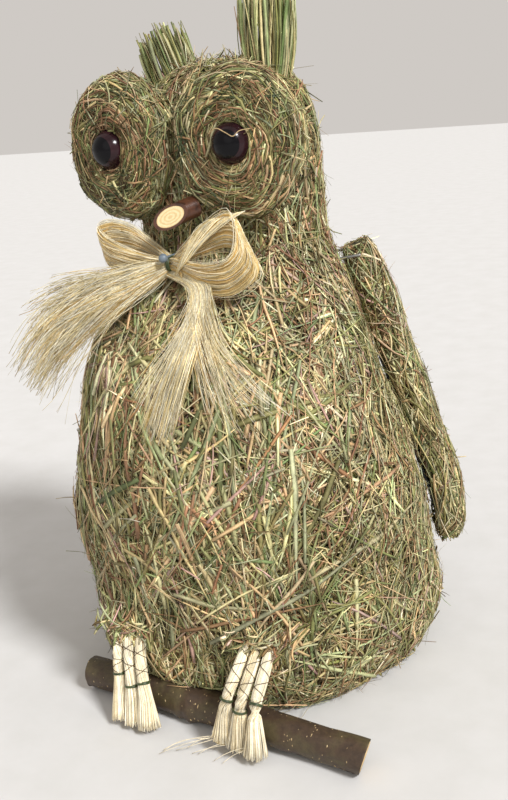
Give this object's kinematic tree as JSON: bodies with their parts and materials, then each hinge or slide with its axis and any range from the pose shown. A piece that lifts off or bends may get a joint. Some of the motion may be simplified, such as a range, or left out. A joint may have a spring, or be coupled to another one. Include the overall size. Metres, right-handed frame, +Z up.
{
  "type": "hay owl figure",
  "caption": "Owl figure of bound hay with cushion-like eye discs, glossy eyes, twig beak, fibre bow, loose side wings and brush feet at a branch.",
  "frame": {"origin": "middle of the flat underside of the hay body, on the surface the figure stands on", "axes": "+Z up to the ear tufts, the owl looks along -Y, its own left is +X"},
  "size_m": [0.2484, 0.2595, 0.4248],
  "materials": {
    "board": "dark grey speckled board",
    "branch_bark": "dark brown bark with pale specks",
    "branch_wood": "pale cut wood",
    "brush": "pale stiff brush fibre",
    "core": "packed straw",
    "dowel": "plain dowel",
    "eye_back": "black plastic",
    "eye_black": "very glossy black",
    "eye_brown": "very glossy dark brown",
    "green_wire": "dark green lacquered wire",
    "hay": "matte dry hay",
    "hay_dark": "matte packed hay",
    "pin_head": "grey-blue pin head",
    "sisal": "pale combed fibre with a light sheen",
    "steel_wire": "plain wire",
    "twig_bark": "smooth red-brown bark",
    "twig_wood": "pale cut wood"
  },
  "bodies": {
    "body": {"beak_bark": "twig_bark", "beak_pin": "steel_wire", "beak_wood": "twig_wood", "body_core": "core", "body_hay": "hay", "body_wire": "green_wire", "bow_pin": "pin_head", "branch_bark": "branch_bark", "branch_pegs": "steel_wire", "branch_wood": "branch_wood", "disc_left": "hay_dark", "disc_left_wire": "green_wire", "disc_right": "hay_dark", "disc_right_wire": "green_wire", "ear_left": "hay", "ear_right": "hay", "eye_left": "eye_brown", "eye_left_pupil": "eye_black", "eye_left_stem": "eye_back", "eye_right": "eye_brown", "eye_right_pupil": "eye_black", "eye_right_stem": "eye_back", "eye_washers": "eye_back", "foot_left_rings": "green_wire", "foot_left_spikes": "steel_wire", "foot_right_rings": "green_wire", "foot_right_spikes": "steel_wire", "head_core": "core", "head_hay": "hay", "neck_dowel": "dowel", "toe_left_inner": "brush", "toe_left_middle": "brush", "toe_left_outer": "brush", "toe_right_inner": "brush", "toe_right_middle": "brush", "toe_right_outer": "brush", "wing_left_staple": "steel_wire", "wing_right_staple": "steel_wire"},
    "wing_left": {"wing_left_board": "board", "wing_left_hay": "hay", "wing_left_wire": "green_wire"},
    "wing_right": {"wing_right_board": "board", "wing_right_hay": "hay", "wing_right_wire": "green_wire"},
    "bow": {"bow_knot": "sisal", "bow_loop_left": "sisal", "bow_loop_right": "sisal", "bow_tail_left": "sisal", "bow_tail_right": "sisal", "bow_tie_wire": "green_wire"}
  },
  "joints": [
    {"name": "wing_left_lift", "type": "hinge", "parent": "body", "child": "wing_left", "pos_m": [0.0663, 0.03615, 0.25937], "axis": [0.342, -0.9397, 0], "range_deg": [0, 25]},
    {"name": "wing_right_lift", "type": "hinge", "parent": "body", "child": "wing_right", "pos_m": [-0.0663, 0.03615, 0.25937], "axis": [0.342, 0.9397, 0], "range_deg": [0, 25]},
    {"name": "bow_swivel", "type": "hinge", "parent": "body", "child": "bow", "pos_m": [-0.00774, -0.07007, 0.2765], "axis": [-0.1097, -0.994, 0], "range_deg": [-5, 5]}
  ]
}
